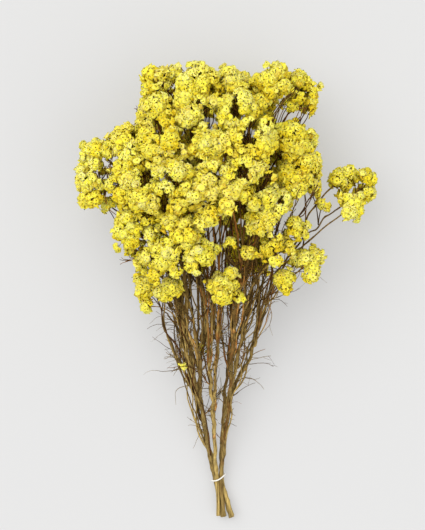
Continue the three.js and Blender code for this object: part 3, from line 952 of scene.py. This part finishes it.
def add_florets(body, spots, facings, owners, rng):
    """Ruffled funnel florets at some spots, each a little different and on its own fine stalk."""
    count = len(spots)
    size = rng.uniform(0.82, 1.2, (count, 1))
    turn = rng.uniform(0, tau, (count, 1))
    open_by = rng.uniform(0.5, 1.5, (count, 1))
    fold = rng.uniform(0, tau, (count, 1))
    rings, shares = [], []
    for points, radius, height, ruffle, share, _ in RINGS:
        angle = np.arange(points) / points * tau
        notch = np.where(np.arange(points) % 2 == 1, NOTCH, 0) if points == 2 * PETALS else 0
        wave = np.cos(2 * angle + fold) * 0.5 + 0.3 * rng.normal(0, 1, (count, points))
        out = radius * (1 - notch + 0.09 * ruffle * rng.normal(0, 1, (count, points))) * size
        up = (height * np.where(height > 0, open_by, 1) + ruffle * (wave + 2.2 * notch)) * size
        rings.append(np.stack([out * np.cos(angle + turn), out * np.sin(angle + turn), up], -1))
        shares.append(np.full(points, share))
    top, end = (np.tile([0, 0, height], (count, 1, 1)) for height in (EYE_TOP, STALK_END))
    local = np.concatenate([top, *rings, end], 1)
    places = set_down(local, spots, facings, any_side(facings, rng))
    colours = np.ones(places.shape[:2] + (4,))
    colours[..., 0] = np.concatenate([[0], *shares, [0]])
    colours[..., 1] = rng.uniform(0, 1, (count, 1))
    tones = rng.uniform(0, 1, owners.max() + 1)
    # Painted highlight and painted shade: a floret that faces the way its head faces, on the crown, gets a
    # higher tone and so a paler petal, and one that faces away, deep in the head, a lower and more golden
    # one. The rest of the tone differs at random from puff to puff.
    crown_light = facings @ unit(facings.sum(0) + 1e-9)
    tone_and_painted_light = 0.6 * tones[owners] + 0.4 * crown_light + rng.normal(0, 0.12, count)
    colours[..., 2] = np.clip(tone_and_painted_light, 0, 1)[:, None]
    maps = np.tile(SPOTS.reshape(1, -1, 2), (count, 1, 1))
    body.add_copies(places, FACES, LOOKS, colours, maps)
    add_tips(body, spots, facings, rng)


def add_puff_twigs(body, head, puffs, rng):
    """The twig that a head sits on, parted to the heart of each puff."""
    tip = head["tip"] - head["heading"] * 1.5
    for centre, radius, axis in puffs:
        length = norm(centre - tip)
        knee = tip + head["heading"] * 0.35 * length
        curve = cubic(tip, knee, centre - axis * 0.35 * length, centre)
        points = trace(curve, np.linspace(0, 1, 7))
        points[:, 2] = np.maximum(points[:, 2], PUFF_TWIG_HEIGHT)
        radii = np.linspace(TWIG_RADIUS * 0.75, 0.4, 7)
        tube(body, points, radii, 5, rng.uniform(0, 1, 3), STALK)
        for _ in range(3):
            end = centre + unit(axis + rng.normal(0, 0.7, 3)) * radius * 0.8
            end[2] = max(end[2], STALK_HEIGHT)
            line = [points[4], 0.5 * (centre + end), end]
            tube(body, line, [0.36, 0.32, 0.24], 4, rng.uniform(0, 1, 3), STALK)


def add_tufts(body, head, rng):
    """A few florets on longer twigs of their own, which stand out of the head and break its outline."""
    for _ in range(TUFTS):
        away = unit(head["axis"] + rng.normal(0, 0.75, 3))
        end = head["centre"] + away * (head["radius"] + rng.uniform(-1, 5))
        end = np.clip(end, ROOM[0] + TUFT_MARGIN, ROOM[1] - TUFT_MARGIN)
        start = head["centre"] - away * 0.3 * head["radius"]
        bend = 0.5 * (start + end) + rng.normal(0, 1.5, 3)
        points = trace(quadratic(start, bend, end), np.linspace(0, 1, 5))
        tube(body, points, np.linspace(0.5, 0.3, 5), 5, rng.uniform(0, 1, 3), STALK)
        count = int(rng.integers(3, 6))
        facings = units(away + rng.normal(0, 0.5, (count, 3)))
        spots = end + facings * TUFT_RADIUS
        if not in_gaps(spots).any():
            add_florets(body, spots, facings, np.zeros(count, int), rng)


def make_sprigs(stems, materials, draw, rng):
    """Small clusters on twigs of their own, where no head of the CAD model is."""
    forks = forks_of([shoot for stem in stems for shoot in stem["shoots"]])
    for i, (x, y, z, wide, count) in enumerate(SPRIGS):
        body = Body()
        centre = np.array([x, y, z], float)
        below = lower_down(forks, y, 18, 80)
        origin = below[np.argmin(norm(below - centre, axis=1))]
        length = norm(centre - origin)
        knee = origin + np.array([0, 0.45 * length, 0]) + 0.2 * (centre - origin)
        heading = unit(centre - knee)
        tip = centre - heading * 0.6 * wide
        points = trace(quadratic(origin, knee, tip), np.linspace(0, 1, 9))
        tube(body, points, np.linspace(0.75, 0.5, 9), 6, rng.uniform(0, 1, 3), STALK)
        puffs = []
        for _ in range(count):
            size = min(wide, draw(5, 8))
            away = unit(np.array([draw(-1, 1), draw(-0.3, 1), draw(-0.5, 1)]))
            puffs.append((centre + away * (wide - 0.7 * size), size, unit(away + heading)))
        head = {"centre": centre, "radius": wide, "tip": tip, "heading": heading}
        add_florets(body, *floret_spots(head, [], puffs, rng), rng)
        add_puff_twigs(body, head, puffs, rng)
        body.make(f"sprig_{i + 1}", materials)


class Skin:
    """A material round one principled shader, with the nodes that feed it."""

    def __init__(self, name, **sockets):
        self.material = bpy.data.materials.new(name)
        self.material.use_nodes = True
        self.tree = self.material.node_tree
        self.tree.nodes.clear()
        output = self.node("OutputMaterial")
        self.shader = self.node("BsdfPrincipled", **sockets)
        self.feed(output.inputs["Surface"], self.shader.outputs["BSDF"])

    def feed(self, socket, value):
        """Links a socket to another node's, or sets its own value."""
        if isinstance(value, bpy.types.NodeSocket):
            self.tree.links.new(value, socket)
        else:
            socket.default_value = value

    def node(self, kind, **sockets):
        node = self.tree.nodes.new("ShaderNode" + kind)
        for name, value in sockets.items():
            self.feed(node.inputs[name.replace("_", " ")], value)
        return node

    def tint_parts(self):
        """The three numbers of a surface's own tint."""
        tint = self.node("Attribute")
        tint.attribute_name = "tint"
        return list(self.node("SeparateColor", Color=tint.outputs["Color"]).outputs)

    def place(self):
        return self.node("TexCoord").outputs["Object"]

    def noise(self, place, scale, detail=4.0, roughness=0.55):
        node = self.node("TexNoise", Vector=place, Scale=scale, Detail=detail, Roughness=roughness)
        return node.outputs["Fac"]

    def ramp(self, value, stops):
        node = self.node("ValToRGB", Fac=value)
        elements = node.color_ramp.elements
        while len(elements) < len(stops):
            elements.new(0.5)
        for element, (place, colour) in zip(elements, stops):
            element.position = place
            element.color = (*colour, 1.0)
        return node.outputs["Color"]

    def mix(self, share, a, b, kind="MIX"):
        node = self.node("Mix")
        node.data_type = "RGBA"
        node.blend_type = kind
        for name, value in (("Factor", share), ("A", a), ("B", b)):
            socket = [s for s in node.inputs if s.name == name and s.enabled][0]
            self.feed(socket, (*value, 1.0) if isinstance(value, tuple) else value)
        return [s for s in node.outputs if s.enabled][0]

    def multiply(self, a, b):
        return self.mix(1.0, a, b, "MULTIPLY")

    def bump(self, height, distance, strength=1.0):
        bump = self.node("Bump", Height=height, Distance=distance, Strength=strength)
        self.feed(self.shader.inputs["Normal"], bump.outputs["Normal"])

    def colour(self, value):
        self.feed(self.shader.inputs["Base Color"], value)


def petal_material():
    """Papery yellow petals with a few dried ones, paler at the rim and on the heads' crowns and more golden
    in the throats and deep in the heads; this is partly their own colour and partly painted highlight and
    painted shade.
    """
    skin = Skin(
        "petal",
        Roughness=0.75,
        Specular_IOR_Level=0.12,
        Subsurface_Weight=0.35,
        Subsurface_Radius=(1.0, 0.7, 0.1),
        Subsurface_Scale=0.004,
    )
    outwards, age, tone_and_painted_light = skin.tint_parts()
    place = skin.place()
    mottle = skin.noise(place, 700.0)
    patch = skin.noise(place, 22.0, 2.0)
    # From the throat to the rim the petals grow paler: partly their own colour, partly painted highlight on
    # the rims and painted shade in the throats and on the undersides.
    petal = skin.ramp(outwards, [
        (0.0, (0.97, 0.89, 0.1)),
        (0.3, (0.98, 0.92, 0.13)),
        (0.6, (0.99, 0.94, 0.15)),
        (1.0, (1.0, 0.95, 0.24)),
    ])
    # A high tone makes the petals paler and whiter, a low one more golden: painted highlight on the heads'
    # crowns and painted shade deep in them, on top of a tone that differs at random from puff to puff.
    tones = skin.ramp(tone_and_painted_light, [
        (0.0, (0.92, 0.79, 0.2)),
        (0.3, (0.97, 0.92, 0.5)),
        (0.65, (1.0, 0.99, 0.95)),
        (1.0, (1.0, 0.99, 1.5)),
    ])
    toned = skin.multiply(petal, tones)
    dried = skin.ramp(age, [(0.93, (0.0, 0.0, 0.0)), (1.0, (0.6, 0.6, 0.6))])
    tanned = skin.mix(dried, toned, (0.5, 0.3, 0.03))
    spotted = skin.ramp(mottle, [(0.3, (0.9, 0.85, 0.7)), (0.7, (1.0, 1.0, 1.0))])
    mottled = skin.multiply(tanned, spotted)
    broad = skin.ramp(patch, [(0.35, (0.95, 0.87, 0.65)), (0.65, (1.0, 1.0, 1.0))])
    skin.colour(skin.multiply(mottled, broad))
    skin.bump(skin.noise(place, 900.0, 3.0), 0.0002, 0.5)
    return skin.material


def eye_material():
    """The eyes of the florets: most are dark, and some look like the petals."""
    skin = Skin("eye", Roughness=0.8, Specular_IOR_Level=0.2)
    _, age, _ = skin.tint_parts()
    skin.colour(skin.ramp(age, [
        (0.0, (0.02, 0.01, 0.003)),
        (0.74, (0.06, 0.028, 0.006)),
        (0.79, (0.95, 0.86, 0.08)),
        (1.0, (0.98, 0.92, 0.13)),
    ]))
    skin.bump(skin.noise(skin.place(), 1500.0), 0.0002)
    return skin.material


def twig_material(name, pale, dark, red):
    """Dry bark: olive low down, darker up among the flowers, streaked along the stem."""
    skin = Skin(name, Roughness=0.8, Specular_IOR_Level=0.15)
    shade, redness, _ = skin.tint_parts()
    place = skin.place()
    parts = skin.node("SeparateXYZ", Vector=place)
    stretched = skin.node("Mapping", Vector=place, Scale=(1.0, 0.09, 1.0)).outputs["Vector"]
    grain = skin.noise(stretched, 1100.0, 6.0, 0.65)
    streak = skin.noise(stretched, 420.0, 6.0, 0.65)
    patch = skin.noise(place, 45.0, 3.0)
    height = skin.node("MapRange", Value=parts.outputs["Y"], From_Min=-0.2, From_Max=0.08)
    ground = skin.mix(height.outputs["Result"], pale, dark)
    patched = skin.node("Math")
    patched.operation = "MULTIPLY"
    skin.feed(patched.inputs[0], patch)
    skin.feed(patched.inputs[1], redness)
    reddish = skin.ramp(patched.outputs["Value"], [(0.3, (0.0, 0.0, 0.0)), (0.5, (0.8, 0.8, 0.8))])
    barked = skin.mix(reddish, ground, red)
    lit = skin.ramp(streak, [(0.32, (0.3, 0.26, 0.2)), (0.66, (1.7, 1.65, 1.6))])
    streaked = skin.multiply(barked, lit)
    shades = skin.ramp(shade, [(0.0, (0.26, 0.19, 0.1)), (1.0, (1.7, 1.68, 1.6))])
    skin.colour(skin.multiply(streaked, shades))
    skin.bump(grain, 0.0006, 0.8)
    return skin.material


def band_material():
    skin = Skin("elastic", Roughness=0.45, Specular_IOR_Level=0.4)
    place = skin.place()
    dust = skin.noise(place, 350.0)
    skin.colour(skin.ramp(dust, [(0.3, (0.78, 0.76, 0.7)), (0.7, (0.9, 0.89, 0.85))]))
    skin.bump(skin.noise(place, 1200.0), 0.0002, 0.4)
    return skin.material


def make_band(material):
    """The band: one thin elastic ring, slanting across the stems."""
    body = Body()
    loop = BUNDLE_RADIUS + STEM_RADIUS + BAND_GAP + BAND_RADIUS
    steps = 72
    angle = np.arange(steps + 1) / steps * tau
    x = loop * np.cos(angle)
    sag = 0.3 * x * x / loop
    points = BAND_CENTRE + np.stack([x, BAND_SLANT * x + sag, loop * np.sin(angle)], 1)
    tube(body, points, np.full(steps + 1, BAND_RADIUS), 10, np.zeros(3))
    body.make("band_elastic", [material], "band")


def make_stage():
    """A floor of pale paper. It glows a little, so that it stays pale in the gaps among the flowers."""
    bpy.ops.mesh.primitive_plane_add(size=60.0, location=(0, 0, 0))
    ground = bpy.context.object
    ground.name = "floor"
    paper = Skin(
        "floor_paper",
        Base_Color=(0.33, 0.33, 0.33, 1.0),
        Roughness=0.9,
        Specular_IOR_Level=0.1,
        Emission_Color=(1.0, 1.0, 1.0, 1.0),
        Emission_Strength=0.33,
    )
    ground.data.materials.append(paper.material)


def make_lights():
    scene = bpy.context.scene
    scene.view_settings.view_transform = "Standard"
    world = bpy.data.worlds.new("studio")
    scene.world = world
    world.use_nodes = True
    background = world.node_tree.nodes["Background"]
    background.inputs["Color"].default_value = (1.0, 0.995, 0.985, 1.0)
    background.inputs["Strength"].default_value = 0.85
    for name, energy, towards in LIGHTS:
        data = bpy.data.lights.new(name, "SUN")
        data.energy = energy
        data.angle = radians(LIGHT_ANGLE)
        lamp = new_object(name, data)
        lamp.rotation_mode = "QUATERNION"
        lamp.rotation_quaternion = Vector(towards).to_track_quat("-Z", "Y")


def make_camera():
    """The camera looks straight down on the bunch, at the scale that the CAD model was read with."""
    data = bpy.data.cameras.new("camera")
    camera = new_object("camera", data)
    bpy.context.scene.camera = camera
    centre = 0.001 * np.array(VIEW_CENTRE) + TO_FRAME
    camera.location = (centre[0], centre[1], CAMERA_HEIGHT)
    data.lens = data.sensor_width * (CAMERA_HEIGHT - VIEW_HEIGHT) / (IMAGE_HEIGHT * PIXEL)
    data.clip_end = 200.0


def make_bunch():
    """Grows the bunch and dresses every stem and flower head, then adds the sprigs and the band."""
    heads, stems = grow_bunch()
    bark = twig_material("bark", (0.3, 0.23, 0.085), (0.14, 0.088, 0.018), (0.23, 0.09, 0.02))
    stalk = twig_material("stalk", (0.2, 0.13, 0.03), (0.12, 0.07, 0.015), (0.2, 0.08, 0.015))
    flower = [petal_material(), eye_material(), stalk]
    draw = stream(DRESSING_SEED)
    rng = np.random.default_rng(FLORET_SEED)
    for i, stem in enumerate(stems):
        wood = Body()
        for shoot in stem["shoots"]:
            dress_shoot(wood, shoot, draw)
        add_companions(wood, stem, draw)
        add_gap_twigs(wood, stem, stems, draw)
        add_curly_twigs(wood, stem["shoots"], draw)
        wood.make(f"stem_{i + 1}_bark", [bark], f"stem_{i + 1}")
        for k, head in enumerate(stem["heads"]):
            node = f"head_{i + 1}_{k + 1}"
            bloom = Body()
            puffs = puffs_of(head, draw)
            add_florets(bloom, *floret_spots(head, heads, puffs, rng), rng)
            add_puff_twigs(bloom, head, puffs, rng)
            add_tufts(bloom, head, rng)
            bloom.make(f"{node}_florets", flower, node)
    make_sprigs(stems, flower, draw, rng)
    make_band(band_material())


make_bunch()
make_stage()
make_lights()
make_camera()
